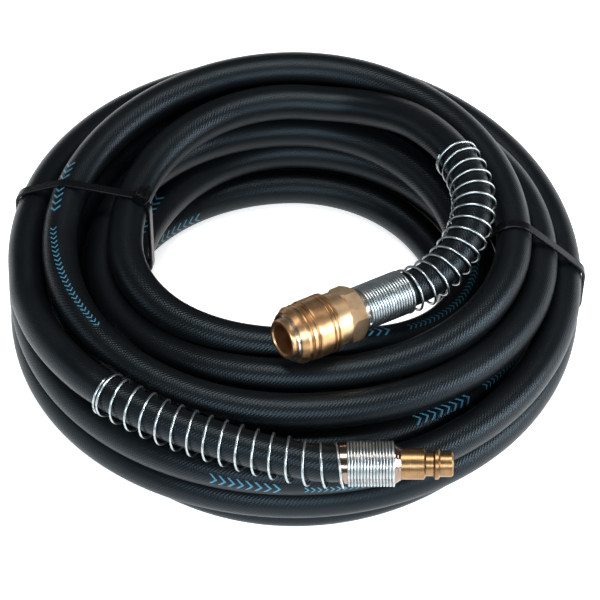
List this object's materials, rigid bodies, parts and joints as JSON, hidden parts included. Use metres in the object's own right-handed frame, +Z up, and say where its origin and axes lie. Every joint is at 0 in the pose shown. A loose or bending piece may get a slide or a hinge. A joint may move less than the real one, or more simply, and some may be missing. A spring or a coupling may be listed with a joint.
{
  "type": "coiled air hose",
  "caption": "Coiled black rubber air hose in a tied pile of loops, with a brass quick coupling at one end, a plug nipple at the other, and spring bend guards.",
  "frame": {"origin": "middle of the footprint on the floor, under the coil", "axes": "+Z up out of the pile, -Y towards the side where the plug nipple lies, +X the way the nipple points"},
  "size_m": [0.2273, 0.2363, 0.081],
  "materials": {
    "rubber_hose": "matte, finely ribbed",
    "dull_brass": "worn, satin",
    "turned_brass": "turned, satin",
    "plug_ferrule": "crimped, satin",
    "steel_ferrule": "crimped, satin",
    "zinc_wire": "bright zinc",
    "spring_steel": "satin",
    "ball_steel": "polished",
    "seal_rubber": "smooth",
    "tie_nylon": "semi-matte"
  },
  "bodies": {
    "hose": {"hose_coil": "rubber_hose", "hose_lead_coupler": "rubber_hose", "hose_lead_plug": "rubber_hose", "hose_end_coupler": "rubber_hose", "hose_end_plug": "rubber_hose", "plug_nipple": "dull_brass", "plug_ferrule": "plug_ferrule", "plug_spring_guard": "zinc_wire", "coupler_nose": "turned_brass", "coupler_body": "turned_brass", "coupler_hose_tail": "turned_brass", "coupler_ferrule": "steel_ferrule", "coupler_spring_guard": "zinc_wire", "sleeve_spring": "spring_steel", "sleeve_retaining_ring": "spring_steel", "socket_seal": "seal_rubber", "valve_spring": "spring_steel", "cable_tie_left": "tie_nylon", "cable_tie_right": "tie_nylon"},
    "sleeve": {"coupler_sleeve": "turned_brass"},
    "valve": {"valve_poppet": "turned_brass", "valve_seal": "seal_rubber"},
    "ball_1": {"locking_ball_1": "ball_steel"},
    "ball_2": {"locking_ball_2": "ball_steel"},
    "ball_3": {"locking_ball_3": "ball_steel"},
    "ball_4": {"locking_ball_4": "ball_steel"},
    "ball_5": {"locking_ball_5": "ball_steel"},
    "ball_6": {"locking_ball_6": "ball_steel"}
  },
  "joints": [
    {"name": "sleeve_slide", "type": "slide", "parent": "hose", "child": "sleeve", "axis": [0.8229, 0.5509, -0.1392], "range_m": [0, 0.004], "stiffness_N_per_m": 1500, "springref_m": -0.006, "deforming": ["sleeve_spring"]},
    {"name": "valve_slide", "type": "slide", "parent": "hose", "child": "valve", "axis": [0.8229, 0.5509, -0.1392], "range_m": [0, 0.004], "stiffness_N_per_m": 900, "springref_m": -0.004, "deforming": ["valve_spring"]},
    {"name": "ball_1_slide", "type": "slide", "parent": "hose", "child": "ball_1", "axis": [-0.1157, -0.0774, -0.9903], "range_m": [0, 0.0006]},
    {"name": "ball_2_slide", "type": "slide", "parent": "hose", "child": "ball_2", "axis": [-0.5396, 0.6809, -0.4951], "range_m": [0, 0.0006]},
    {"name": "ball_3_slide", "type": "slide", "parent": "hose", "child": "ball_3", "axis": [-0.4239, 0.7584, 0.4951], "range_m": [0, 0.0006]},
    {"name": "ball_4_slide", "type": "slide", "parent": "hose", "child": "ball_4", "axis": [0.1157, 0.0774, 0.9903], "range_m": [0, 0.0006]},
    {"name": "ball_5_slide", "type": "slide", "parent": "hose", "child": "ball_5", "axis": [0.5396, -0.6809, 0.4951], "range_m": [0, 0.0006]},
    {"name": "ball_6_slide", "type": "slide", "parent": "hose", "child": "ball_6", "axis": [0.4239, -0.7584, -0.4951], "range_m": [0, 0.0006]}
  ],
  "couplings": [
    {"joint": "ball_1_slide", "follows": "sleeve_slide", "ratio": 0.15},
    {"joint": "ball_2_slide", "follows": "sleeve_slide", "ratio": 0.15},
    {"joint": "ball_3_slide", "follows": "sleeve_slide", "ratio": 0.15},
    {"joint": "ball_4_slide", "follows": "sleeve_slide", "ratio": 0.15},
    {"joint": "ball_5_slide", "follows": "sleeve_slide", "ratio": 0.15},
    {"joint": "ball_6_slide", "follows": "sleeve_slide", "ratio": 0.15}
  ]
}
